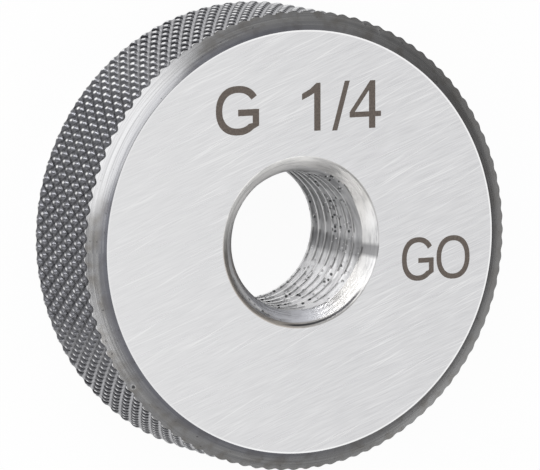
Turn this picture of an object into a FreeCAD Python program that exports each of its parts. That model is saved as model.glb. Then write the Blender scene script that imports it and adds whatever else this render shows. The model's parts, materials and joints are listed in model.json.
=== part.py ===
# Thread ring gauge for G 1/4 pipe thread, GO member: one hardened steel ring.
# The ring lies on its back face. Its axis is +Z, the origin is the centre of the back face,
# and the marked face looks up. All sizes are in millimetres and degrees.
import FreeCAD, Part
import Sketcher

import math
import os

document = FreeCAD.newDocument("thread_ring_gauge")
sizes = document.addObject("Spreadsheet::Sheet", "sizes")

# Driving sizes: alias, value, what it measures
driving_sizes = [
    ("crest_diameter", 38.0, "over the tips of the knurl"),
    ("thickness", 12.0, "from the back face to the marked face"),
    ("edge_chamfer_radial", 1.5, "outer edge chamfer, measured across the face"),
    ("edge_chamfer_axial", 1.0, "outer edge chamfer, measured down the rim"),
    ("thread_major_diameter", 13.157, "G 1/4 thread, over the roots in the ring"),
    ("thread_minor_diameter", 11.445, "G 1/4 thread, over the crests in the ring"),
    ("mouth_margin", 0.45, "how far each mouth opens past the major radius"),
    ("mouth_angle", 45.0, "slope of each mouth, from the axis"),
    ("knurl_pitch", 1.0, "between neighbouring grooves, square to them"),
    ("knurl_angle", 30.0, "between a groove and the axis"),
    ("knurl_depth", 0.4, "from the tips to the floor of the grooves"),
]
for row, (alias, value, meaning) in enumerate(driving_sizes, start=1):
    sizes.set(f"A{row}", alias)
    sizes.set(f"B{row}", str(value))
    sizes.setAlias(f"B{row}", alias)
    sizes.set(f"C{row}", meaning)
document.recompute()


# Knurled bar: the stock that the ring is turned from, one row of tips longer at each end.
# Right-hand and left-hand grooves cross and leave pyramids. Half-steps around and along
# number the points: a tip where their sum is even, a crossing of two grooves where it is odd.
def knurled_bar():
    crest_radius = sizes.crest_diameter / 2
    groove_radius = crest_radius - sizes.knurl_depth
    knurl_angle = math.radians(sizes.knurl_angle)
    pitch_around = sizes.knurl_pitch / math.cos(knurl_angle)
    tips_around = round(2 * math.pi * crest_radius / pitch_around)
    steps_around = 2 * tips_around
    nominal_step = sizes.knurl_pitch / math.sin(knurl_angle) / 2
    steps_in_ring = max(2, round(sizes.thickness / nominal_step))
    step_along = sizes.thickness / steps_in_ring
    steps_along = steps_in_ring + 2

    points = []
    for along in range(steps_along + 1):
        height = (along - 1) * step_along
        for around in range(steps_around):
            is_tip = (around + along) % 2 == 0
            radius = crest_radius if is_tip else groove_radius
            angle = math.pi * around / tips_around
            points.append((radius * math.cos(angle), radius * math.sin(angle), height))

    # Each cell between four points is two triangles that meet along a groove.
    triangles = []
    for along in range(steps_along):
        for around in range(steps_around):
            right = (around + 1) % steps_around
            low_left = along * steps_around + around
            low_right = along * steps_around + right
            high_left = low_left + steps_around
            high_right = low_right + steps_around
            if (around + along) % 2 == 0:
                triangles.append((low_left, low_right, high_left))
                triangles.append((low_right, high_right, high_left))
            else:
                triangles.append((low_left, low_right, high_right))
                triangles.append((low_left, high_right, high_left))

    # The two ends are flat, each one face inside the ring of points there.
    skin = Part.Shape()
    skin.makeShapeFromMesh((points, triangles), 0.0001)
    ends = []
    for first in (0, steps_along * steps_around):
        rim = [FreeCAD.Vector(*point) for point in points[first:first + steps_around]]
        ends.append(Part.Face(Part.makePolygon(rim + rim[:1])))
    shell = Part.makeShell(skin.Faces + ends)
    shell.sewShape()
    return Part.makeSolid(shell)


bar = document.addObject("Part::Feature", "knurled_bar")
bar.Label = "knurled_bar"
bar.Shape = knurled_bar()
bar.Placement = FreeCAD.Placement()

# Turned form: both faces, both outer chamfers, the bore at the thread's minor diameter and its
# two mouths. The chamfers run on past the tips, so that nothing but them and the faces cuts
# the knurl. The thread's helix itself is too fine for this model.
turned_ring = document.addObject("PartDesign::Body", "turned_ring")
turned_ring.Label = "turned_ring"
turned_ring.Placement = FreeCAD.Placement()
section = turned_ring.newObject("Sketcher::SketchObject", "ring_section")
section_plane = next(item for item in turned_ring.Origin.OriginFeatures if item.Role == "XZ_Plane")
section.AttachmentSupport = (section_plane, [""])
section.MapMode = "FlatFace"

bore_radius = "sizes.thread_minor_diameter / 2"
mouth_radius = "sizes.thread_major_diameter / 2 + sizes.mouth_margin"
mouth_depth = f"({mouth_radius} - {bore_radius}) / tan(sizes.mouth_angle)"
face_radius = "sizes.crest_diameter / 2 - sizes.edge_chamfer_radial"
stock_radius = "sizes.crest_diameter / 2 + sizes.edge_chamfer_radial"
stock_height = "2 * sizes.edge_chamfer_axial"

# Corners of the section, in order around it: name, radius, height above the back face
corners = [
    ("back_mouth", mouth_radius, None),
    ("back_edge", face_radius, None),
    ("back_stock", stock_radius, stock_height),
    ("front_stock", stock_radius, f"sizes.thickness - {stock_height}"),
    ("front_edge", face_radius, "sizes.thickness"),
    ("front_mouth", mouth_radius, "sizes.thickness"),
    ("front_bore", bore_radius, f"sizes.thickness - {mouth_depth}"),
    ("back_bore", bore_radius, mouth_depth),
]


def value_of(expression):
    return section.evalExpression(expression) if expression else 0.0


places = [FreeCAD.Vector(value_of(across), value_of(up), 0) for _, across, up in corners]
for start, end in zip(places, places[1:] + places[:1]):
    section.addGeometry(Part.LineSegment(start, end), False)
x_axis, origin_point = -1, 1
line_start, line_end = 1, 2
for line, (name, across, up) in enumerate(corners):
    previous = (line - 1) % len(corners)
    section.addConstraint(Sketcher.Constraint("Coincident", previous, line_end, line, line_start))
    radius_limit = section.addConstraint(
        Sketcher.Constraint("DistanceX", x_axis, origin_point, line, line_start, value_of(across)))
    section.renameConstraint(radius_limit, f"{name}_radius")
    section.setExpression(f"Constraints.{name}_radius", across)
    if up is None:
        section.addConstraint(Sketcher.Constraint("PointOnObject", line, line_start, x_axis))
        continue
    height_limit = section.addConstraint(
        Sketcher.Constraint("DistanceY", x_axis, origin_point, line, line_start, value_of(up)))
    section.renameConstraint(height_limit, f"{name}_height")
    section.setExpression(f"Constraints.{name}_height", up)

turning = turned_ring.newObject("PartDesign::Revolution", "turning")
turning.Profile = section
turning.ReferenceAxis = (section, ["V_Axis"])
turning.Angle = 360
section.Visibility = False
document.recompute()

# Finished ring: the knurled bar where the turned form leaves it
gauge_ring = document.addObject("Part::Common", "gauge_ring")
gauge_ring.Label = "gauge_ring"
gauge_ring.Base = bar
gauge_ring.Tool = turned_ring
gauge_ring.Placement = FreeCAD.Placement()
document.recompute()

for item in document.Objects:
    if "Invalid" in item.State or "Error" in item.State:
        raise RuntimeError(f"{item.Label} failed: {item.State}")
for item in (bar, turned_ring, gauge_ring):
    if item.Shape.isNull() or not item.Shape.isValid() or len(item.Shape.Solids) != 1:
        raise RuntimeError(f"{item.Label} is not one valid solid")

os.makedirs("parts", exist_ok=True)
gauge_ring.Shape.exportStep(f"parts/{gauge_ring.Label}.step")
ring_box = gauge_ring.Shape.BoundBox
print(f"{gauge_ring.Label}: {len(gauge_ring.Shape.Faces)} faces, {gauge_ring.Shape.Volume:.1f} mm3,"
      f" {ring_box.XLength:.3f} x {ring_box.YLength:.3f} x {ring_box.ZLength:.3f} mm")
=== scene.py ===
# Thread ring gauge lying on a pale bench: the CAD frame dressed as ground, turned and knurled steel.
# Dictionaries hold millimetres and degrees. Meshes are worked out in millimetres and written in metres.
import json
import math

import bmesh
import bpy
import numpy as np
from mathutils import Matrix, Vector


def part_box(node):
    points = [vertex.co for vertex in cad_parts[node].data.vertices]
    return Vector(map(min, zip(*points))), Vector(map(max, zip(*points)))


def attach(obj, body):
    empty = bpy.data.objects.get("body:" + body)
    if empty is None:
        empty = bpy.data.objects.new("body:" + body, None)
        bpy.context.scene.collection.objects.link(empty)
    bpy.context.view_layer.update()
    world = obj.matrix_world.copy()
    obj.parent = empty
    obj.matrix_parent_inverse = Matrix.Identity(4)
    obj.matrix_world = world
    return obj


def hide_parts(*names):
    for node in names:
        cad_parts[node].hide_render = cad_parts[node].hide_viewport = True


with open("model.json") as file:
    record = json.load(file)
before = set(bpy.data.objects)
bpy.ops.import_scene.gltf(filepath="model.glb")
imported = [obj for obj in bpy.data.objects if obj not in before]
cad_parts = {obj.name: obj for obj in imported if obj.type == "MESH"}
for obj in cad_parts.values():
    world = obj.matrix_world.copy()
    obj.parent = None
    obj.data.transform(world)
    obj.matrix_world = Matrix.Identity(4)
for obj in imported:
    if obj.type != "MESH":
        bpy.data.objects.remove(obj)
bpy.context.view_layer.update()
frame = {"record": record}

metresPerMm = 0.001
sharpAngle = 50.0  # between two triangles, from which the shading breaks
ringLow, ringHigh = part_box("gauge_ring")
mounts = {mount["name"]: mount for mount in frame["record"]["mounts"]}
tipRadius = (ringHigh[0] - ringLow[0]) / 2 / metresPerMm  # over the knurl tips
thickness = (ringHigh[2] - ringLow[2]) / metresPerMm
crestRadius = mounts["thread"]["dims"]["r_mm"]  # the bore at the thread crests
print("frame: ring", round(2 * tipRadius, 3), "by", round(thickness, 3), "mm")


# Ring: one closed skin, made of rows of points around the axis.
# The rows run up the knurl, in over the marked face, down the bore and out over the back face.
ring = {
    "edgeChamferAcross": 1.5,
    "edgeChamferDown": 1.0,
    "edgeChamferCrown": 0.2,  # how far the chamfer swells out between its edges, as a share of its depth
    "edgeChamferRows": (0.62, 0.5, 0.38, 0.26, 0.14),  # shares of the way out from the face edge
    "edgeRounding": 0.03,  # the broken corner between a face and a chamfer
    "edgeDrop": 0.0036,  # how far that corner lies below the face
    "knurlTips": 103,
    "knurlPeriod": 2.0,  # from tip to tip along the axis
    "knurlDepth": 0.31,
    "knurlFullness": 0.65,  # 1 is a rounded tip, lower is fuller with narrower grooves
    "endDepth": 0.44,  # share of the depth that the grooves keep at the chamfers
    "endFade": (0.6, 1.8),  # from the face, where they start to deepen and where they are full
    "columnsPerTip": 8,
    "rowsPerTip": 10,
    "blendRows": 3,  # rows between the chamfer's zigzag edge and the even rows
    "mouthRadius": 7.0285,
    "mouthRounding": 0.22,  # radius of the worn corner between the face and the mouth
    "mouthBends": (11, 22, 33),  # where the rows on that corner lie, in degrees round it
    "threadRootRadius": 6.62,  # a little past the G 1/4 major radius, because a ring gauge has cleared roots
    "threadPitch": 1.337,
    "threadSteepness": 5.9,  # for 55 degree flanks
    "flankStraight": 0.78,  # share of the half depth that stays straight, either way from the middle
    "flankRounded": 1.35,  # where a straight flank would be by the time its rounding ends, as such a share
    "rootPoint": 1.12,  # where two straight flanks would meet in a root, which is narrower than a crest
    "threadStart": -88.0,  # where round the mouth the groove comes out
    "rowsPerPitch": 10,
}
mouthSlope = 45.0  # at this slope, radius and depth add up to the same sum all the way down a mouth

# Small dents: place as angle and radius, reach from the center, depth, and how bright the burr around is
nicks = (
    {"angle": 66.0, "radius": 18.72, "size": 0.26, "depth": 0.26, "burr": 0.0},
    {"angle": 70.5, "radius": 18.74, "size": 0.22, "depth": 0.22, "burr": 0.0},
    {"angle": 217.0, "radius": 18.62, "size": 0.20, "depth": 0.10, "burr": 0.25},
)
faceRadius = tipRadius - ring["edgeChamferAcross"]
knurlColumns = ring["knurlTips"] * ring["columnsPerTip"]
plainColumns = knurlColumns // 2


def turnsOf(columns):
    return np.arange(columns) / columns


def rowAt(radius, height, columns):
    # One row: points at angle 2 pi times turn, at a radius and height that may vary with the turn.
    angle = 2 * np.pi * turnsOf(columns)
    radius = np.broadcast_to(radius, columns)
    return np.column_stack((radius * np.cos(angle), radius * np.sin(angle), np.broadcast_to(height, columns)))


def knurlRadius(turn, height):
    # Two rectified sine waves, one for each hand of groove, multiplied: zero along a groove, one on a tip.
    around = turn * ring["knurlTips"]
    along = height / ring["knurlPeriod"]
    waves = np.abs(np.sin(np.pi * (around + along)) * np.sin(np.pi * (around - along)))
    near, far = ring["endFade"]
    fromFace = np.minimum(height, thickness - height)
    share = ring["endDepth"] + (1 - ring["endDepth"]) * np.clip((fromFace - near) / (far - near), 0, 1)
    return tipRadius - ring["knurlDepth"] * share * (1 - waves ** ring["knurlFullness"])


def chamferPlace(share):
    # Radius and depth at a share of the way out: the cone, less a low parabola that crowns it.
    radius = faceRadius + ring["edgeChamferAcross"] * share
    depth = ring["edgeChamferDown"] * (share - ring["edgeChamferCrown"] * share * (1 - share))
    return radius, depth


def zigzagDepth(turn, fromBack):
    # Depth where the chamfer meets the knurl, by halving the interval for all columns at once.
    nearest, halvings = 0.4, 30  # the first as a share of the way out over the chamfer
    near, far = np.full_like(turn, nearest), np.ones_like(turn)
    for _ in range(halvings):
        middle = (near + far) / 2
        radius, depth = chamferPlace(middle)
        inside = radius < knurlRadius(turn, depth if fromBack else thickness - depth)
        near, far = np.where(inside, middle, near), np.where(inside, far, middle)
    return chamferPlace((near + far) / 2)[1]


def threadRadius(turn, height):
    # Right-hand helix: a triangle wave of height less turns, with straight flanks and rounded ends.
    pitch = ring["threadPitch"]
    halfDepth = (ring["threadRootRadius"] - crestRadius) / 2
    emergeDepth = ring["mouthRadius"] - ring["threadRootRadius"]
    start = ring["threadStart"] / 360 - (thickness - emergeDepth) / pitch
    phase = height / pitch - turn + start
    straight, end = ring["flankStraight"], ring["flankRounded"]
    wave = ring["rootPoint"] - ring["threadSteepness"] * np.abs(phase - np.round(phase))
    wave = np.maximum(wave, -end)
    left = np.clip((end - np.abs(wave)) / (end - straight), 0, 1)
    rounded = 1 - (1 - straight) * left ** ((end - straight) / (1 - straight))
    wave = np.where(np.abs(wave) < straight, wave, np.sign(wave) * rounded)
    return crestRadius + halfDepth * (1 + wave)


def mouthArc(bend):
    # Radius and depth on the corner that turns from the flat face down to the mouth.
    bend = math.radians(bend)
    start = ring["mouthRadius"] + ring["mouthRounding"] * math.tan(math.radians(mouthSlope / 2))
    return start - ring["mouthRounding"] * math.sin(bend), ring["mouthRounding"] * (1 - math.cos(bend))


def boreRow(height):
    # The wider of the thread and the two 45 degree mouths.
    mouth = ring["mouthRadius"] - min(height, thickness - height)
    return rowAt(np.maximum(mouth, threadRadius(turnsOf(plainColumns), height)), height, plainColumns)


def knurlRows():
    turn = turnsOf(knurlColumns)
    step = ring["knurlPeriod"] / ring["rowsPerTip"]
    firstEven = ring["edgeChamferDown"] + step
    even = np.arange(firstEven, thickness - firstEven + step / 2, step)
    back, front = zigzagDepth(turn, True), thickness - zigzagDepth(turn, False)
    blend = np.arange(ring["blendRows"]) / ring["blendRows"]
    heights = [back + (firstEven - back) * share for share in blend]
    heights += [np.full(knurlColumns, height) for height in even]
    heights += [front + (thickness - firstEven - front) * share for share in blend[::-1]]
    return [rowAt(knurlRadius(turn, height), height, knurlColumns) for height in heights]


def edgeRows(onFront):
    # In over the chamfer and its rounded corner, across the face, to the mouth's rounded corner.
    # A second row close to each corner keeps the face's shading flat.
    rounding, arcStart = ring["edgeRounding"], mouthArc(0)[0]
    faceEdge, secondRow = faceRadius - rounding, 2 * rounding
    roundingShare = rounding / ring["edgeChamferAcross"]
    sections = {
        "chamfer": [chamferPlace(share) for share in (*ring["edgeChamferRows"], roundingShare)]
        + [(faceRadius, ring["edgeDrop"])],
        "face": [(faceEdge, 0.0), (faceEdge - secondRow, 0.0), (arcStart + secondRow, 0.0), (arcStart, 0.0)],
        "bore": [mouthArc(bend) for bend in ring["mouthBends"]],
    }
    return {kind: [rowAt(radius, thickness - depth if onFront else depth, plainColumns)
                   for radius, depth in places] for kind, places in sections.items()}


def fillBand(lower, upper, lowerFirst, upperFirst, rising):
    # Triangles between two rows. Rows of one length share columns, and a row of half the length takes every
    # second one.
    low, high = len(lower), len(upper)
    k = np.arange(min(low, high))
    nextK = (k + 1) % len(k)
    if low == high:
        a, b, c, d = lowerFirst + k, lowerFirst + nextK, upperFirst + nextK, upperFirst + k
        first = np.where(rising[:, None], np.column_stack((a, b, c)), np.column_stack((a, b, d)))
        second = np.where(rising[:, None], np.column_stack((a, c, d)), np.column_stack((b, c, d)))
        return np.vstack((first, second))
    if low > high:
        a, b, c = lowerFirst + 2 * k, lowerFirst + 2 * k + 1, lowerFirst + 2 * nextK
        d, e = upperFirst + k, upperFirst + nextK
        return np.vstack((np.column_stack((a, b, d)), np.column_stack((b, c, e)), np.column_stack((b, e, d))))
    a, b = lowerFirst + k, lowerFirst + nextK
    c, d, e = upperFirst + 2 * k, upperFirst + 2 * k + 1, upperFirst + 2 * nextK
    return np.vstack((np.column_stack((a, b, d)), np.column_stack((a, d, c)), np.column_stack((b, e, d))))


def groovesRise(lower, upper):
    # True where the nearer groove climbs with the angle, so that the cell is split along it.
    if len(lower) != knurlColumns or len(upper) != knurlColumns:
        return np.zeros(len(lower), bool)
    around = (turnsOf(knurlColumns) + 0.5 / knurlColumns) * ring["knurlTips"]
    along = (lower[:, 2] + upper[:, 2]) / 2 / ring["knurlPeriod"]
    fromFalling = np.abs(around + along - np.round(around + along))
    fromRising = np.abs(around - along - np.round(around - along))
    return fromRising < fromFalling


def withNicks(points):
    # Each dent lowers the points near it by a bell curve of their distance from it.
    for nick in nicks:
        angle = math.radians(nick["angle"])
        place = nick["radius"] * np.array((math.cos(angle), math.sin(angle)))
        distance = np.linalg.norm(points[:, :2] - place, axis=1)
        onFront = points[:, 2] > thickness - 2 * ring["edgeChamferDown"]
        points[:, 2] -= np.where(onFront, nick["depth"] * np.exp(-(distance / nick["size"]) ** 2), 0)
    return points


def buildRing(materials):
    coneTop = mouthArc(mouthSlope)[1]
    boreCount = round(thickness / ring["threadPitch"] * ring["rowsPerPitch"])
    boreHeights = np.linspace(thickness - coneTop, coneTop, boreCount)
    front, back = edgeRows(True), edgeRows(False)
    sections = [
        ("knurl", knurlRows()),
        ("chamfer", front["chamfer"]),
        ("face", front["face"]),
        ("bore", front["bore"] + [boreRow(height) for height in boreHeights] + back["bore"]),
        ("face", back["face"][::-1]),
        ("chamfer", back["chamfer"][::-1]),
    ]
    rows = [row for _, part in sections for row in part]
    kinds = [kind for kind, part in sections for _ in part]
    firsts = np.concatenate(([0], np.cumsum([len(row) for row in rows])))
    triangles, slots = [], []
    for i in range(len(rows)):
        j = (i + 1) % len(rows)
        band = fillBand(rows[i], rows[j], firsts[i], firsts[j], groovesRise(rows[i], rows[j]))
        kind = next(kind for kind in ("bore", "chamfer", "knurl", "face") if kind in (kinds[i], kinds[j]))
        triangles.append(band)
        slots.append(np.full(len(band), list(materials).index(kind)))
    points = withNicks(np.vstack(rows))
    return writeMesh("gaugeRing", points, np.vstack(triangles), np.concatenate(slots), materials.values())


def writeMesh(name, points, triangles, slots, materials):
    mesh = bpy.data.meshes.new(name)
    mesh.vertices.add(len(points))
    mesh.vertices.foreach_set("co", (points * metresPerMm).ravel())
    mesh.loops.add(triangles.size)
    mesh.loops.foreach_set("vertex_index", triangles.ravel())
    mesh.polygons.add(len(triangles))
    mesh.polygons.foreach_set("loop_start", np.arange(0, triangles.size, 3))
    mesh.polygons.foreach_set("material_index", slots)
    mesh.update(calc_edges=True)
    mesh.validate()
    mesh.shade_smooth()
    mesh.set_sharp_from_angle(angle=math.radians(sharpAngle))
    for material in materials:
        mesh.materials.append(material)
    piece = bpy.data.objects.new(name, mesh)
    bpy.context.scene.collection.objects.link(piece)
    print(name, len(points), "points", len(triangles), "triangles")
    return piece


# Steel finishes. Every pattern is in Object coordinates, scaled to millimetres.
# A range reads: from low, from high, to low, to high.
# A noise reads: changes to the millimetre, detail and, in some, roughness.
# A grain reads: changes to the millimetre along it, changes across it, detail.
noiseSpan = (0.3, 0.7)  # most of a noise lies between these


def makeSteel(name, color, roughness, anisotropy=0.0, metallic=1.0):
    material = bpy.data.materials.new(name)
    material.use_nodes = True
    shader = material.node_tree.nodes["Principled BSDF"]
    shader.inputs["Base Color"].default_value = (*color, 1)
    shader.inputs["Metallic"].default_value = metallic
    shader.inputs["Roughness"].default_value = roughness
    shader.inputs["Anisotropic"].default_value = anisotropy
    return material, shader


def addNode(owner, kind, settings=None, **sockets):
    # A key such as i0 is a socket's number, for nodes whose sockets share one name.
    node = owner.node_tree.nodes.new("ShaderNode" + kind)
    for key, value in (settings or {}).items():
        setattr(node, key, value)
    for key, value in sockets.items():
        target = node.inputs[int(key[1:])] if key[0] == "i" and key[1:].isdigit() else node.inputs[key]
        if isinstance(value, bpy.types.NodeSocket):
            owner.node_tree.links.new(value, target)
        else:
            target.default_value = value
    return node


def joinTo(owner, source, target):
    owner.node_tree.links.new(source, target)


def calculate(owner, operation, a, b=0.0):
    return addNode(owner, "Math", {"operation": operation}, i0=a, i1=b).outputs[0]


def times(owner, a, b):
    return calculate(owner, "MULTIPLY", a, b)


def distanceFrom(owner, value, level):
    return calculate(owner, "ABSOLUTE", calculate(owner, "SUBTRACT", value, level))


def swing(owner, noise, size):
    # A noise moved to lie around zero and scaled.
    return times(owner, calculate(owner, "SUBTRACT", noise, 0.5), size)


def mapTo(owner, value, low, high, toLow, toHigh):
    return addNode(owner, "MapRange", None, **{"Value": value, "From Min": low, "From Max": high,
                                               "To Min": toLow, "To Max": toHigh}).outputs["Result"]


def blendColors(owner, factor, first, second):
    mix = owner.node_tree.nodes.new("ShaderNodeMix")
    mix.data_type = "RGBA"
    for value, socket in ((factor, mix.inputs[0]), (first, mix.inputs[6]), (second, mix.inputs[7])):
        if isinstance(value, bpy.types.NodeSocket):
            owner.node_tree.links.new(value, socket)
        else:
            socket.default_value = value if socket.type == "VALUE" else (*value, 1)
    return mix.outputs[2]


def layColors(owner, color, layers):
    # Each layer, a share and a color, goes over what is there.
    for share, layer in layers:
        color = blendColors(owner, share, color, layer)
    return color


def placeInMm(owner):
    # Object coordinates in millimetres, their parts, and the radius from the axis.
    place = addNode(owner, "TexCoord").outputs["Object"]
    place = addNode(owner, "VectorMath", {"operation": "SCALE"}, Vector=place,
                    Scale=1 / metresPerMm).outputs[0]
    parts = addNode(owner, "SeparateXYZ", None, Vector=place).outputs
    squares = calculate(owner, "ADD", times(owner, parts[0], parts[0]), times(owner, parts[1], parts[1]))
    return place, parts, calculate(owner, "SQRT", squares)


def angleAround(owner, parts):
    return calculate(owner, "ARCTAN2", parts[1], parts[0])


def toward(owner, place, angle):
    # How far a point lies out in one direction, in millimetres.
    direction = (math.cos(math.radians(angle)), math.sin(math.radians(angle)), 0)
    return addNode(owner, "VectorMath", {"operation": "DOT_PRODUCT"}, i0=place, i1=direction).outputs["Value"]


def noiseAt(owner, place, scale, detail=3.0, roughness=0.5):
    return addNode(owner, "TexNoise", None, Vector=place, Scale=scale, Detail=detail,
                   Roughness=roughness).outputs[0]


def grainNoise(owner, place, angle, along, across, detail):
    # Noise drawn out along a direction: few changes to the millimetre along it and many across.
    level = addNode(owner, "Mapping", None, Vector=place, Rotation=(0, 0, -math.radians(angle))).outputs[0]
    drawn = addNode(owner, "Mapping", None, Vector=level, Scale=(along, across, 1)).outputs[0]
    return noiseAt(owner, drawn, 1.0, detail)


def bumpFrom(owner, height, distance):
    return addNode(owner, "Bump", None, Height=height, Distance=distance * metresPerMm).outputs[0]


ground = {
    "grainAngle": 19.6,
    "fineGrain": (0.45, 11.0, 4),
    "broadGrain": (0.18, 3.2, 2),
    "fineShare": 0.6,  # the broad grain has the rest
    "grainRange": (0.37, 0.63, 0.0, 1.0),
    "dark": (0.640, 0.640, 0.650),
    "light": (0.765, 0.765, 0.772),
    "scratchGrain": (0.11, 7.0, 1),
    "strayAngle": 27.0,  # a few scratches run off the grain
    "strayGrain": (0.14, 6.0, 1),
    "scratchRange": (0.63, 0.73, 0.0, 0.9),
    "scratchAndPaintedLight": (0.84, 0.84, 0.84),
    "paintedLightRange": (6.0, -16.0, 0.0, 0.4),  # along X: painted light, the left is a little paler
    "edge": (0.97, 0.97, 0.97),
    "edgeWidth": (0.19, 0.11),  # in from the edge, where the painted highlight line starts and is full
    "edgeRange": (-12.0, -4.0, 0.3, 1.0),  # along X: the painted highlight line is fainter on the left
    "roughness": (0.26, 0.36),
    "anisotropy": 0.3,
    "bumpHeight": 0.010,
}


def groundFace():
    # Fine lines and broader streaks along the grinding direction, long bright scratches, a painted highlight
    # line at the edge, and painted light that leaves the left a little paler.
    material, shader = makeSteel("groundFace", ground["light"], ground["roughness"][0], ground["anisotropy"])
    place, parts, radius = placeInMm(material)
    fine = grainNoise(material, place, ground["grainAngle"], *ground["fineGrain"])
    broad = grainNoise(material, place, ground["grainAngle"], *ground["broadGrain"])
    lines = calculate(material, "ADD", times(material, fine, ground["fineShare"]),
                      times(material, broad, 1 - ground["fineShare"]))
    scratches = grainNoise(material, place, ground["grainAngle"], *ground["scratchGrain"])
    strays = grainNoise(material, place, ground["strayAngle"], *ground["strayGrain"])
    # Painted highlight: a bright line along the face's outer edge.
    start, full = (faceRadius - inward for inward in ground["edgeWidth"])
    edge = times(material, mapTo(material, radius, start, full, 0.0, 1.0),
                 mapTo(material, parts[0], *ground["edgeRange"]))
    color = layColors(material, ground["dark"], (
        (mapTo(material, lines, *ground["grainRange"]), ground["light"]),
        # Painted light: the left of the face a little paler.
        (mapTo(material, parts[0], *ground["paintedLightRange"]), ground["scratchAndPaintedLight"]),
        (mapTo(material, scratches, *ground["scratchRange"]), ground["scratchAndPaintedLight"]),
        (mapTo(material, strays, *ground["scratchRange"]), ground["scratchAndPaintedLight"]),
        (edge, ground["edge"]),
    ))
    joinTo(material, color, shader.inputs["Base Color"])
    joinTo(material, mapTo(material, broad, *noiseSpan, *ground["roughness"]), shader.inputs["Roughness"])
    joinTo(material, bumpFrom(material, lines, ground["bumpHeight"]), shader.inputs["Normal"])
    return material


turned = {
    "marksOut": 7.0,  # changes to the millimetre of radius
    "marksAround": 1.4,  # changes to the radian
    "marksNoise": (1.0, 4, 0.6),
    "marksRange": (0.32, 0.68, 0.0, 1.0),
    "dark": (0.235, 0.235, 0.24),
    "light": (0.34, 0.338, 0.335),
    "highlightAngle": 144.0,  # the side where the chamfer has a painted highlight
    "highlightRange": (16.3, 17.2, 0.0, 1.0),  # how far out that way
    "highlightMarksRange": (0.40, 0.58, 0.45, 1.0),  # how much of the painted highlight the turning marks let through
    "highlight": (0.52, 0.52, 0.525),
    "stainNoise": (0.8, 3),
    "stainRange": (0.46, 0.64, 0.0, 0.6),
    "stain": (0.19, 0.178, 0.162),
    "paintedShadeAngle": 15.0,
    "paintedShadeRange": (8.0, 17.0, 0.0, 0.65),
    "paintedShade": (0.100, 0.097, 0.094),
    "bandWidth": (0.40, 1.00),  # out from the face edge, where the bluish band of painted shade starts to fade and is gone
    "bandShare": 0.55,
    "bandUneven": 0.5,  # how far the turning marks move the band's outer edge
    "bandRange": (-3.0, 6.0, 1.0, 0.15),  # along X: the band is faint on the right
    "bandInBright": 0.5,  # and half as strong where the chamfer has its painted highlight
    "band": (0.132, 0.138, 0.176),
    "pitNoise": (3.5, 2),
    "pitRange": (0.70, 0.76, 0.0, 0.8),
    "pit": (0.05, 0.05, 0.053),
    "nickDepth": 0.7,  # where the dents' centers lie below the face
    "nickUneven": 0.35,
    "nickRange": (0.10, 0.20, 0.9, 0.0),  # out from a dent's center
    "burrWidth": (0.02, 0.08),  # the bright ring around a dent, full and gone this far off its line
    "burr": (0.85, 0.85, 0.85),
    "roughness": (0.18, 0.30),
    "anisotropy": 0.4,
    "bumpHeight": 0.012,
}


def turnedChamfer():
    # Turning marks: noise of the radius, with a slow change around. A painted highlight on one side and
    # painted shade on another, a bluish band of painted shade along the face edge, stains, and small pits and
    # dents.
    material, shader = makeSteel("turnedChamfer", turned["light"], turned["roughness"][0],
                                 turned["anisotropy"])
    place, parts, radius = placeInMm(material)
    track = addNode(material, "CombineXYZ", None, X=times(material, radius, turned["marksOut"]),
                    Y=times(material, angleAround(material, parts), turned["marksAround"])).outputs[0]
    marks = noiseAt(material, track, *turned["marksNoise"])
    # Painted highlight: the chamfer brighter on one side.
    highlight = mapTo(material, toward(material, place, turned["highlightAngle"]), *turned["highlightRange"])
    stains = mapTo(material, noiseAt(material, place, *turned["stainNoise"]), *turned["stainRange"])
    # Painted shade: a bluish dark band along the chamfer's inner edge.
    start, end = (faceRadius + outward for outward in turned["bandWidth"])
    band = mapTo(material, calculate(material, "ADD", radius, times(material, marks, turned["bandUneven"])),
                 start, end, turned["bandShare"], 0.0)
    band = times(material, band, mapTo(material, parts[0], *turned["bandRange"]))
    band = times(material, band, mapTo(material, highlight, 0.0, 1.0, 1.0, turned["bandInBright"]))
    spots = noiseAt(material, place, *turned["pitNoise"])
    layers = [
        (mapTo(material, marks, *turned["marksRange"]), turned["light"]),
        (times(material, highlight, mapTo(material, marks, *turned["highlightMarksRange"])), turned["highlight"]),
        (times(material, stains, calculate(material, "SUBTRACT", 1.0, highlight)), turned["stain"]),
        # Painted shade: the chamfer darker on one side.
        (mapTo(material, toward(material, place, turned["paintedShadeAngle"]), *turned["paintedShadeRange"]), turned["paintedShade"]),
        (band, turned["band"]),
        (mapTo(material, spots, *turned["pitRange"]), turned["pit"]),
    ]
    uneven = swing(material, spots, turned["nickUneven"])
    for nick in nicks:
        angle = math.radians(nick["angle"])
        center = (nick["radius"] * math.cos(angle), nick["radius"] * math.sin(angle),
                  thickness - turned["nickDepth"])
        away = addNode(material, "VectorMath", {"operation": "DISTANCE"}, i0=place, i1=center)
        away = calculate(material, "ADD", away.outputs["Value"], uneven)
        fromRing = distanceFrom(material, away, nick["size"])
        layers.append((mapTo(material, fromRing, *turned["burrWidth"], nick["burr"], 0.0), turned["burr"]))
        layers.append((mapTo(material, away, *turned["nickRange"]), turned["pit"]))
    joinTo(material, layColors(material, turned["dark"], layers), shader.inputs["Base Color"])
    joinTo(material, mapTo(material, marks, *noiseSpan, *turned["roughness"]), shader.inputs["Roughness"])
    joinTo(material, bumpFrom(material, marks, turned["bumpHeight"]), shader.inputs["Normal"])
    joinTo(material, addNode(material, "Tangent", {"direction_type": "RADIAL", "axis": "Z"}).outputs[0],
           shader.inputs["Tangent"])
    return material


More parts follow.
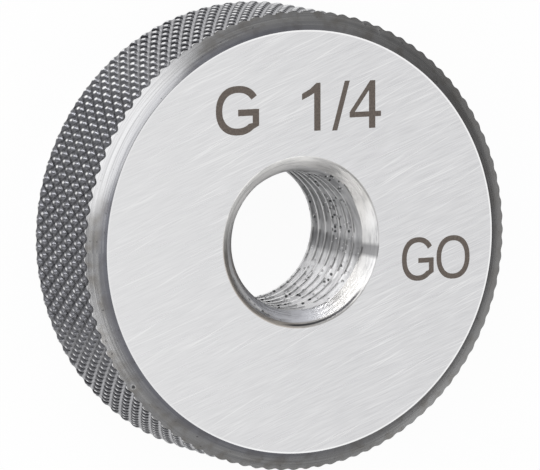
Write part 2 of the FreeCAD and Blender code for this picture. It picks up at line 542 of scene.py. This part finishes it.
knurl = {
    "groove": (0.012, 0.012, 0.014),
    "flank": (0.125, 0.126, 0.136),
    "dirtRange": (-0.05, 0.22, 1.0, 0.0),  # up from the grooves, 0 on a groove and 1 on a tip
    "dirtAndShadeFull": 0.8,  # from this share on, dirt and painted shade hide the metal
    "unevenNoise": (1.3, 3),
    "uneven": 0.25,
    "highlightLane": (0.46, 0.46, 0.475),
    "highlightLaneRange": (0.25, 0.55, 0.85, 0.0),  # out from the middle of a painted highlight lane
    "darkShare": 0.95,
    # The side of +Y, then of -Y: the grooves with painted highlight lanes, the grooves with a flank of
    # painted shade beside them, where on Y that starts and is full, and the phases where the flank's painted
    # shade starts and is full
    "sides": (("left", "right", (12.0, 16.5), (0.60, 0.86)), ("right", "left", (-6.0, -12.0), (0.42, 0.12))),
    "tip": (0.74, 0.74, 0.75),
    "tipStart": (0.86, 1.00),  # where the worn tip and its painted highlight start and are full, 1 at the very tip
    "endHighlight": 0.30,  # how much further a painted highlight reaches on the last tips before the marked face
    "endReach": (1.7, 1.1),  # below that face, where this starts and is full
    "topHighlight": 0.12,  # and how much further a painted highlight reaches on the tips towards +Y
    "topReach": (9.0, 15.0),
    "highlightTip": (1.0, 1.0, 1.0),
    "highlightAngle": 147.0,  # the side where the tips get the brightest painted highlight
    "highlightRange": (17.5, 18.8, 0.0, 1.0),
    "bumpHeight": 0.22,
    "roughness": (0.36, 0.24),
}


def knurledRim():
    # Dark in the grooves, grey on the flanks, worn bright on the tips, with painted shade and highlights on
    # the sides. The phase of each hand of groove is a whole number on a groove and a half on a tip. The knurl
    # is two rectified sines of them, multiplied.
    material, shader = makeSteel("knurledRim", knurl["flank"], knurl["roughness"][0])
    place, parts, _ = placeInMm(material)
    around = times(material, angleAround(material, parts), ring["knurlTips"] / (2 * math.pi))
    along = times(material, parts[2], 1 / ring["knurlPeriod"])
    phases = {"right": calculate(material, "ADD", around, along),
              "left": calculate(material, "SUBTRACT", around, along)}
    waves = {hand: calculate(material, "ABSOLUTE",
                             calculate(material, "SINE", times(material, phase, math.pi)))
             for hand, phase in phases.items()}
    wave = times(material, waves["right"], waves["left"])
    height = calculate(material, "ADD", wave,
                       swing(material, noiseAt(material, place, *knurl["unevenNoise"]), knurl["uneven"]))
    dirtAndShade = mapTo(material, height, *knurl["dirtRange"])
    layers = [(dirtAndShade, knurl["groove"])]
    # Painted shade crescents beside one hand of groove and painted highlight lanes along the other, on the +Y
    # and -Y sides.
    for highlightLane, shade, reach, darkPhase in knurl["sides"]:
        side = mapTo(material, parts[1], *reach, 0.0, 1.0)
        phase = calculate(material, "FRACT", phases[shade])
        dark = times(material, mapTo(material, phase, *darkPhase, 0.0, knurl["darkShare"]), side)
        laneHighlight = times(material, mapTo(material, waves[highlightLane], *knurl["highlightLaneRange"]), side)
        layers += [(dark, knurl["groove"]), (laneHighlight, knurl["highlightLane"])]
        dirtAndShade = times(material, calculate(material, "MAXIMUM", dirtAndShade, dark),
                     calculate(material, "SUBTRACT", 1.0, laneHighlight))

    # Painted highlights: bigger bright tips before the marked face and towards +Y, brightest on one side.
    endStart, endFull = (thickness - below for below in knurl["endReach"])
    atEnd = mapTo(material, parts[2], endStart, endFull, 0.0, knurl["endHighlight"])
    atTop = mapTo(material, parts[1], *knurl["topReach"], 0.0, knurl["topHighlight"])
    wearAndHighlight = calculate(material, "ADD", height, calculate(material, "MAXIMUM", atEnd, atTop))
    wearAndHighlight = mapTo(material, wearAndHighlight, *knurl["tipStart"], 0.0, 1.0)
    highlightSide = mapTo(material, toward(material, place, knurl["highlightAngle"]), *knurl["highlightRange"])
    layers.append((wearAndHighlight, blendColors(material, highlightSide, knurl["tip"], knurl["highlightTip"])))
    joinTo(material, layColors(material, knurl["flank"], layers), shader.inputs["Base Color"])
    joinTo(material, mapTo(material, wearAndHighlight, 0.0, 1.0, *knurl["roughness"]), shader.inputs["Roughness"])
    # Dirt and the painted shade take the shine away.
    for name in ("Metallic", "Specular IOR Level"):
        socket = shader.inputs[name]
        joinTo(material, mapTo(material, dirtAndShade, 0.0, knurl["dirtAndShadeFull"], socket.default_value, 0.0), socket)
    joinTo(material, bumpFrom(material, wave, knurl["bumpHeight"]), shader.inputs["Normal"])
    return material


bore = {
    "linesAlong": 6.0,  # changes to the millimetre along the axis
    "linesAcross": 0.5,
    "linesNoise": (1.0, 4, 0.65),
    # Wall: painted shade on the side towards +Y and painted light on the other
    "shadedWall": (0.47, 0.47, 0.472),
    "litWall": (0.98, 0.98, 0.985),
    "shadedFull": 0.15,  # how far up Y the side of painted shade is full, as a share of the radius
    "line": (0.22, 0.22, 0.225),
    "litLine": (0.76, 0.76, 0.77),
    "ridgesPerTurn": 2,
    "ridgeUneven": 3.0,
    "ridgeDark": (0.3, 1.2, 0.0, 0.6),
    "ridgeBright": (-0.3, -1.2, 0.0, 0.4),
    "highlight": (0.88, 0.88, 0.88),
    "linesRange": (0.52, 0.64, 0.0, 0.5),
    "backShade": 0.25,  # share of the line color that the wall takes on at the back face
    "rootReach": (0.30, 0.08),  # in from the root radius, where the darkening starts and is full
    "rootShare": 0.5,
    "root": (0.14, 0.138, 0.135),
    # Pits, and specks of painted glint, in patches
    "patchNoise": (0.45, 2),
    "patchRange": (0.44, 0.54, 0.0, 1.0),
    "pitsPerMm": 2.3,
    "pitNoise": (5.0, 2),
    "pitUneven": 0.35,
    "pitRange": (0.22, 0.32, 0.9, 0.0),
    "pit": (0.035, 0.035, 0.038),
    "specksPerMm": 3.0,
    "speckShift": (3.1, 5.7, 2.3),  # keeps the specks off the pits
    "speckRange": (0.12, 0.24, 0.8, 0.0),
    "speck": (0.90, 0.90, 0.90),
    # Mouths: each side's direction, and how far out in it the side starts and is full
    "mouth": (0.53, 0.52, 0.505),
    "coneEdge": (0.02, 0.05, 1.0, 0.0),  # off the cone, where the mouth's finish ends
    "coneTop": (0.10, 0.13, 1.0, 0.0),  # below the face, where the rounded corner ends
    "innerRange": (0.28, 0.42, 0.0, 1.0),  # below the face, where the inner half of a mouth starts
    "litMouthAngle": -8.0,
    "litMouthRange": (5.5, 6.7, 0.0, 0.9),
    "litMouth": (0.70, 0.70, 0.70),
    "brownAngle": 225.0,
    "brownRange": (3.8, 5.8, 0.0, 0.9),
    "brownMouth": (0.62, 0.57, 0.52),
    "blueAcross": (1.0, 3.5, 1.0, 0.0),  # along X
    "blueDown": (-2.0, -5.0, 0.0, 1.0),  # along Y
    "blueHighlight": (0.88, 0.89, 0.94),
    "satinAngle": 122.0,  # the side where the steel is satin rather than bright, painted near white as a painted highlight
    "satinRange": (3.0, 5.6, 0.0, 1.0),
    "satinDepth": (1.2, 1.7, 1.0, 0.0),
    "satinHighlightOuter": (1.0, 0.99, 0.97),
    "satinHighlightInner": (0.80, 0.79, 0.775),
    "satinMetallic": 0.25,
    "mouthLines": (0.50, 0.70, 0.0, 0.5),
    "rimLineAngle": -70.0,  # the side where a painted shadow line shows the thread running out of the mouth
    "rimLineRange": (5.6, 6.2, 0.0, 1.0),
    "rimLineDepth": 0.16,
    "rimLineWidth": (0.05, 0.10, 0.95, 0.0),
    "rimShadow": (0.06, 0.06, 0.065),
    # Painted shade stripes down the wall and across the mouth: angle, half width, share
    "wallStripes": ((-10.0, 8.0, 0.6), (-58.0, 3.0, 0.2)),
    "mouthStripes": ((-58.0, 10.0, 0.3), (-9.0, 5.0, 0.75), (20.0, 16.0, 0.12), (62.0, 18.0, 0.16)),
    "stripeEdge": (0.6, 1.2),  # shares of the half width, where a stripe starts to fade and is gone
    "paintedShade": (0.17, 0.17, 0.175),
    "roughness": (0.36, 0.52),
    "mouthRoughness": 0.33,
    "bumpHeight": 0.025,
}


def paintedShadeStripes(owner, around, stripes):
    # Layers for layColors of painted shade, each full near its angle and fading with the distance from it.
    layers = []
    for angle, halfWidth, share in stripes:
        away = distanceFrom(owner, around, math.radians(angle))
        start, end = (math.radians(halfWidth * part) for part in bore["stripeEdge"])
        layers.append((mapTo(owner, away, start, end, share, 0.0), bore["paintedShade"]))
    return layers


def boreWall(material, place, parts, radius, around, lines):
    # Painted shade and painted highlight: dark and bright lines that climb with the thread, a sine of height
    # over pitch less turns, roughened by the noise. Darker in the roots, small torn pits and bright specks of
    # painted glint.
    perTurn = bore["ridgesPerTurn"]
    # Painted shade and highlight lines, twice a turn along the thread.
    climb = calculate(material, "SUBTRACT",
                      times(material, parts[2], perTurn * 2 * math.pi / ring["threadPitch"]),
                      times(material, around, perTurn))
    ridges = calculate(material, "ADD", calculate(material, "SINE", climb),
                       swing(material, lines, bore["ridgeUneven"]))
    # Painted light and shade: the wall and its dark lines are light towards -Y and shaded towards +Y.
    upper = mapTo(material, parts[1], -crestRadius, bore["shadedFull"] * crestRadius, 0.0, 1.0)
    wall = blendColors(material, upper, bore["litWall"], bore["shadedWall"])
    darkLine = blendColors(material, upper, bore["litLine"], bore["line"])
    rootStart, rootFull = (ring["threadRootRadius"] - inward for inward in bore["rootReach"])
    patches = mapTo(material, noiseAt(material, place, *bore["patchNoise"]), *bore["patchRange"])
    pits = addNode(material, "TexVoronoi", None, Vector=place, Scale=bore["pitsPerMm"]).outputs["Distance"]
    pits = calculate(material, "ADD", pits,
                     swing(material, noiseAt(material, place, *bore["pitNoise"]), bore["pitUneven"]))
    # Painted glints: small bright specks.
    aside = addNode(material, "VectorMath", {"operation": "ADD"}, i0=place, i1=bore["speckShift"]).outputs[0]
    specks = addNode(material, "TexVoronoi", None, Vector=aside, Scale=bore["specksPerMm"])
    specks = specks.outputs["Distance"]
    return layColors(material, wall, [
        (mapTo(material, ridges, *bore["ridgeDark"]), darkLine),
        (mapTo(material, lines, *bore["linesRange"]), darkLine),
        (mapTo(material, ridges, *bore["ridgeBright"]), bore["highlight"]),
        (mapTo(material, parts[2], 0.0, thickness, bore["backShade"], 0.0), darkLine),
        # Painted shade stripes down the wall.
        *paintedShadeStripes(material, around, bore["wallStripes"]),
        (mapTo(material, radius, rootStart, rootFull, 0.0, bore["rootShare"]), bore["root"]),
        (times(material, mapTo(material, pits, *bore["pitRange"]), patches), bore["pit"]),
        (times(material, mapTo(material, specks, *bore["speckRange"]), patches), bore["speck"]),
    ])


def boreMouth(material, place, parts, depth, around, lines, satinAndHighlight, satinHighlightColor, inner):
    # Painted highlight on one side, brown on another, a bluish painted highlight low down, satin with a
    # painted highlight at the top, a painted shadow line near the edge.
    # Painted highlight: the mouth lighter on one side.
    clear = mapTo(material, toward(material, place, bore["litMouthAngle"]), *bore["litMouthRange"])
    brown = mapTo(material, toward(material, place, bore["brownAngle"]), *bore["brownRange"])
    # Painted highlight: bluish and light on the inner mouth, low down towards -Y.
    blue = times(material, mapTo(material, parts[1], *bore["blueDown"]), inner)
    blue = times(material, mapTo(material, parts[0], *bore["blueAcross"]), blue)
    # Painted shadow: a dark line near the mouth's edge, at the thread's run-out.
    fromLine = distanceFrom(material, depth, bore["rimLineDepth"])
    rimShadow = times(material, mapTo(material, fromLine, *bore["rimLineWidth"]),
                    mapTo(material, toward(material, place, bore["rimLineAngle"]), *bore["rimLineRange"]))
    return layColors(material, bore["mouth"], [
        (clear, bore["litMouth"]),
        (brown, bore["brownMouth"]),
        (blue, bore["blueHighlight"]),
        (satinAndHighlight, satinHighlightColor),
        (mapTo(material, lines, *bore["mouthLines"]), bore["line"]),
        *paintedShadeStripes(material, around, bore["mouthStripes"]),
        (rimShadow, bore["rimShadow"]),
    ])


def threadedBore():
    # The wall and the mouths, with fine lines: a noise that changes fast along the axis and slowly around it.
    material, shader = makeSteel("threadedBore", bore["litWall"], bore["roughness"][0])
    place, parts, radius = placeInMm(material)
    around = angleAround(material, parts)
    depth = calculate(material, "MINIMUM", parts[2], calculate(material, "SUBTRACT", thickness, parts[2]))
    track = addNode(material, "CombineXYZ", None, X=times(material, parts[2], bore["linesAlong"]),
                    Y=times(material, parts[0], bore["linesAcross"]),
                    Z=times(material, parts[1], bore["linesAcross"])).outputs[0]
    lines = noiseAt(material, track, *bore["linesNoise"])
    inner = mapTo(material, depth, *bore["innerRange"])
    # Satin, less metallic steel on one side, painted near white as a painted highlight, a little darker
    # deeper in.
    satinAndHighlight = times(material, mapTo(material, toward(material, place, bore["satinAngle"]), *bore["satinRange"]),
                  mapTo(material, depth, *bore["satinDepth"]))
    satinHighlightColor = blendColors(material, inner, bore["satinHighlightOuter"], bore["satinHighlightInner"])
    wall = boreWall(material, place, parts, radius, around, lines)
    wall = blendColors(material, satinAndHighlight, wall, satinHighlightColor)
    mouth = boreMouth(material, place, parts, depth, around, lines, satinAndHighlight, satinHighlightColor, inner)

    # A point is on a mouth where its radius and depth together come to the mouth's radius, or near the face.
    offCone = calculate(material, "SUBTRACT", calculate(material, "ADD", radius, depth), ring["mouthRadius"])
    onCone = calculate(material, "MAXIMUM", mapTo(material, offCone, *bore["coneEdge"]),
                       mapTo(material, depth, *bore["coneTop"]))
    joinTo(material, blendColors(material, onCone, wall, mouth), shader.inputs["Base Color"])
    joinTo(material, mapTo(material, satinAndHighlight, 0.0, 1.0, 1.0, bore["satinMetallic"]), shader.inputs["Metallic"])
    roughness = addNode(material, "Mix", None, i0=onCone, i3=bore["mouthRoughness"],
                        i2=mapTo(material, lines, *noiseSpan, *bore["roughness"])).outputs[0]
    joinTo(material, roughness, shader.inputs["Roughness"])
    joinTo(material, bumpFrom(material, lines, bore["bumpHeight"]), shader.inputs["Normal"])
    return material


finishes = {
    "knurl": knurledRim(),
    "chamfer": turnedChamfer(),
    "face": groundFace(),
    "bore": threadedBore(),
}
gaugeRing = buildRing(finishes)
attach(gaugeRing, "root")
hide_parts("gauge_ring")
print("ring done")


# Markings: thin burnt-in letters on the marked face, each an outline of straight and round stretches
marking = {
    "proud": 0.012,
    "sunk": 0.02,
    "mergeWithin": 0.0001,
    "inkDark": (0.105, 0.087, 0.075),
    "inkLight": (0.165, 0.137, 0.117),
    "inkNoise": (6.0, 3),
    "inkRoughness": 0.5,
    "inkMetallic": 0.4,
    "squareness": 2.25,  # 2 is an ellipse, higher is squarer
    "bowlPoints": 60,
    "overshoot": 0.06,  # how far bowls and the slash reach past the line of letters
    "size": {"base": 9.14, "top": 13.08, "stroke": 0.57},
    "go": {"base": -3.70, "top": -0.20, "stroke": 0.43},
}


def bowl(center, radii, start, end):
    # Superellipse: the cosine and sine of the angle, each raised to 2 over the squareness.
    angle = np.radians(np.linspace(start, end, marking["bowlPoints"]))
    power = 2 / marking["squareness"]
    wave = np.column_stack((np.cos(angle), np.sin(angle)))
    return np.array(center) + np.array(radii) * np.sign(wave) * np.abs(wave) ** power


def risesTo(line, *shares):
    # Heights at shares of the way from the foot of the letters to their top.
    return [line["base"] + share * (line["top"] - line["base"]) for share in shares]


def letterO(left, right, line):
    # Two closed bowls, one stroke apart.
    lastAngle = 360 - 360 / marking["bowlPoints"]
    center = ((left + right) / 2, (line["base"] + line["top"]) / 2)
    radii = np.array(((right - left) / 2, (line["top"] - line["base"]) / 2 + marking["overshoot"]))
    return [bowl(center, radii, 0, lastAngle), bowl(center, radii - line["stroke"], 0, lastAngle)]


def letterG(left, right, line):
    # The bowl from its upper end round to the spur, then the spur, the bar and the bowl's inside back again.
    upperEnd, lowerEnd = 33, 312
    centerShare, barPastCenter, barStroke = 0.51, 0.02, 0.95
    center = np.array((left + centerShare * (right - left), (line["base"] + line["top"]) / 2))
    outer = np.array((center[0] - left, (line["top"] - line["base"]) / 2 + marking["overshoot"]))
    spurFoot, spurInside, barTop = risesTo(line, 0.17, 0.23, 0.52)
    spurLeft, barLeft = right - line["stroke"], center[0] + barPastCenter
    barFoot = barTop - barStroke * line["stroke"]
    spurAndBar = ((right, spurFoot), (right, barTop), (barLeft, barTop), (barLeft, barFoot),
                  (spurLeft, barFoot), (spurLeft, spurInside))
    return [np.vstack((bowl(center, outer, upperEnd, lowerEnd), spurAndBar,
                       bowl(center, outer - line["stroke"], lowerEnd, upperEnd)))]


def figureOne(left, right, line):
    # A stem with a flag that bends on its upper and its lower side.
    stem = right - line["stroke"]
    topLeft, upperBend, lowerBend = right - 0.36, right - 0.95, right - 1.0
    flagLow, flagHigh, lowerRise, upperRise, stemRise = risesTo(line, 0.655, 0.785, 0.73, 0.875, 0.79)
    return [np.array(((stem, line["base"]), (right, line["base"]), (right, line["top"]),
                      (topLeft, line["top"]), (upperBend, upperRise), (left, flagHigh), (left, flagLow),
                      (lowerBend, lowerRise), (stem, stemRise)))]


def slash(left, right, line):
    across = 0.8 * line["stroke"]
    foot, top = line["base"] - marking["overshoot"], line["top"] + marking["overshoot"]
    return [np.array(((left, foot), (left + across, foot), (right, top), (right - across, top)))]


def figureFour(left, right, line):
    # A triangle with a triangular window, on a stem that runs below it.
    barPastStem, topWidth = 0.52, 0.8 * line["stroke"]
    stemRight = right - barPastStem
    stemLeft = stemRight - line["stroke"]
    barLow, barHigh, windowTop = risesTo(line, 0.24, 0.352, 0.80)
    windowLeft = left + 0.47
    outline = np.array(((stemLeft, line["base"]), (stemRight, line["base"]), (stemRight, barLow),
                        (right, barLow), (right, barHigh), (stemRight, barHigh), (stemRight, line["top"]),
                        (stemRight - topWidth, line["top"]), (left, barHigh), (left, barLow),
                        (stemLeft, barLow)))
    window = np.array(((stemLeft, barHigh), (stemLeft, windowTop), (windowLeft, barHigh)))
    return [outline, window]


def burntInk():
    # Brown, a little lighter and darker with a fine noise.
    material, shader = makeSteel("burntInk", marking["inkLight"], marking["inkRoughness"],
                                 metallic=marking["inkMetallic"])
    place, _, _ = placeInMm(material)
    share = mapTo(material, noiseAt(material, place, *marking["inkNoise"]), *noiseSpan, 0.0, 1.0)
    color = blendColors(material, share, marking["inkDark"], marking["inkLight"])
    joinTo(material, color, shader.inputs["Base Color"])
    return material


def letterPiece(name, loops, material):
    # A flat curve is filled between its loops and given its thickness, then becomes a closed mesh.
    curve = bpy.data.curves.new(name, "CURVE")
    curve.dimensions = "2D"
    curve.fill_mode = "BOTH"
    halfThick = (marking["proud"] + marking["sunk"]) / 2
    curve.extrude = halfThick * metresPerMm
    for loop in loops:
        spline = curve.splines.new("POLY")
        spline.points.add(len(loop) - 1)
        flat = np.column_stack((loop * metresPerMm, np.zeros(len(loop)), np.ones(len(loop))))
        spline.points.foreach_set("co", flat.ravel())
        spline.use_cyclic_u = True
    maker = bpy.data.objects.new("maker", curve)
    bpy.context.scene.collection.objects.link(maker)
    bpy.context.view_layer.update()
    slab = bpy.data.meshes.new_from_object(maker.evaluated_get(bpy.context.evaluated_depsgraph_get()))
    bpy.data.objects.remove(maker)
    work = bmesh.new()
    work.from_mesh(slab)
    bmesh.ops.remove_doubles(work, verts=work.verts, dist=marking["mergeWithin"] * metresPerMm)
    bmesh.ops.translate(work, verts=work.verts,
                        vec=(0, 0, (thickness + marking["proud"] - halfThick) * metresPerMm))
    bmesh.ops.recalc_face_normals(work, faces=work.faces)
    work.to_mesh(slab)
    work.free()
    slab.materials.clear()
    slab.materials.append(material)
    piece = bpy.data.objects.new(name, slab)
    bpy.context.scene.collection.objects.link(piece)
    return piece


# Each piece's line of letters, and each letter with its left and right edge
words = {
    "threadSizeMark": ("size", ((letterG, -7.69, -3.81), (figureOne, 0.08, 1.75), (slash, 2.81, 4.42),
                                (figureFour, 4.40, 7.26))),
    "goMark": ("go", ((letterG, 9.18, 12.09), (letterO, 12.36, 15.41))),
}
ink = burntInk()
for name, (line, shapes) in words.items():
    loops = [loop for shape, left, right in shapes for loop in shape(left, right, marking[line])]
    letters = letterPiece(name, loops, ink)
    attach(letters, "root")
print("markings done")


# Bench, lamps and camera
bench = {
    "halfWidth": 1500.0,
    "color": (0.95, 0.95, 0.95),
    "roughness": 0.9,
    "ownWhite": 0.95,  # share of what is seen that is the paper's own white
}


def benchTop():
    # White paper: what the camera and the steel see is mostly its own white, and the rest takes light and
    # shadow.
    half = bench["halfWidth"]
    corners = np.array([(-half, -half, 0), (half, -half, 0), (half, half, 0), (-half, half, 0)], float)
    material = bpy.data.materials.new("benchTop")
    material.use_nodes = True
    shader = material.node_tree.nodes["Principled BSDF"]
    shader.inputs["Base Color"].default_value = (*bench["color"], 1)
    shader.inputs["Roughness"].default_value = bench["roughness"]
    rays = addNode(material, "LightPath").outputs
    seen = calculate(material, "MAXIMUM", rays["Is Camera Ray"], rays["Is Glossy Ray"])
    seen = calculate(material, "MAXIMUM", seen, rays["Is Transmission Ray"])
    glow = addNode(material, "Emission", None, Color=(1, 1, 1, 1), Strength=1.0).outputs[0]
    mixed = addNode(material, "MixShader", None, i0=times(material, seen, bench["ownWhite"]),
                    i1=shader.outputs[0], i2=glow).outputs[0]
    joinTo(material, mixed, material.node_tree.nodes["Material Output"].inputs["Surface"])
    return writeMesh("benchTop", corners, np.array([(0, 1, 2), (0, 2, 3)]), np.zeros(2, int), [material])


benchTop()

# Each lamp is a flat panel that faces the ring, given by its direction and how wide it looks from there.
lamps = {
    "faceSoftbox": {"azimuth": -15.6, "elevation": 64.0, "wide": 50.0, "high": 50.0, "brightness": 0.47},
    "windowSoftbox": {"azimuth": 141.0, "elevation": 44.0, "wide": 52.0, "high": 34.0, "brightness": 1.0},
    "lowNorthStrip": {"azimuth": 121.0, "elevation": 5.5, "wide": 58.0, "high": 9.0, "brightness": 17.0},
    "lowSouthStrip": {"azimuth": 240.0, "elevation": 4.0, "wide": 46.0, "high": 7.0, "brightness": 6.0},
    "westPanel": {"azimuth": 211.0, "elevation": 27.0, "wide": 28.0, "high": 18.0, "brightness": 1.7},
}
lampDistance = 600.0
for name, lamp in lamps.items():
    light = bpy.data.lights.new(name, "AREA")
    light.shape = "RECTANGLE"
    light.size = 2 * lampDistance * math.tan(math.radians(lamp["wide"] / 2)) * metresPerMm
    light.size_y = 2 * lampDistance * math.tan(math.radians(lamp["high"] / 2)) * metresPerMm
    light.energy = lamp["brightness"] * math.pi * light.size * light.size_y
    azimuth, elevation = math.radians(lamp["azimuth"]), math.radians(lamp["elevation"])
    direction = Vector((math.cos(azimuth) * math.cos(elevation), math.sin(azimuth) * math.cos(elevation),
                        math.sin(elevation)))
    holder = bpy.data.objects.new(name, light)
    holder.location = direction * lampDistance * metresPerMm
    holder.rotation_euler = direction.to_track_quat("Z", "Y").to_euler()
    holder.visible_camera = False
    bpy.context.scene.collection.objects.link(holder)

# The room is lighter on the left, which is -X, than on the right.
room = {"left": (0.85, 0.85, 0.86), "right": (0.40, 0.40, 0.40)}
world = bpy.data.worlds.new("studio")
world.use_nodes = True
outward = addNode(world, "TexCoord").outputs["Generated"]
bearing = addNode(world, "SeparateXYZ", None, Vector=outward).outputs[0]
joinTo(world, blendColors(world, mapTo(world, bearing, -1.0, 1.0, 0.0, 1.0), room["left"], room["right"]),
       world.node_tree.nodes["Background"].inputs["Color"])
bpy.context.scene.world = world

view = {
    "from": (-279.16, 77.83, 600.78),
    "aim": (-2.85, 0.754, 12.0),
    "roll": 0.138,
    "lens": 533.33,
    "clip": (10.0, 20000.0),
}


def placeCamera():
    data = bpy.data.cameras.new("camera")
    data.lens = view["lens"]
    data.clip_start, data.clip_end = (distance * metresPerMm for distance in view["clip"])
    camera = bpy.data.objects.new("camera", data)
    bpy.context.scene.collection.objects.link(camera)
    position = Vector(view["from"]) * metresPerMm
    back = (position - Vector(view["aim"]) * metresPerMm).normalized()
    right = Vector((0, 1, 0)).cross(back).normalized()
    turn = Matrix((right, back.cross(right), back)).transposed().to_4x4()
    roll = Matrix.Rotation(-math.radians(view["roll"]), 4, "Z")
    camera.matrix_world = Matrix.Translation(position) @ turn @ roll
    bpy.context.scene.camera = camera


placeCamera()
bpy.context.scene.view_settings.view_transform = "Standard"
print("bench, lamps and camera done")
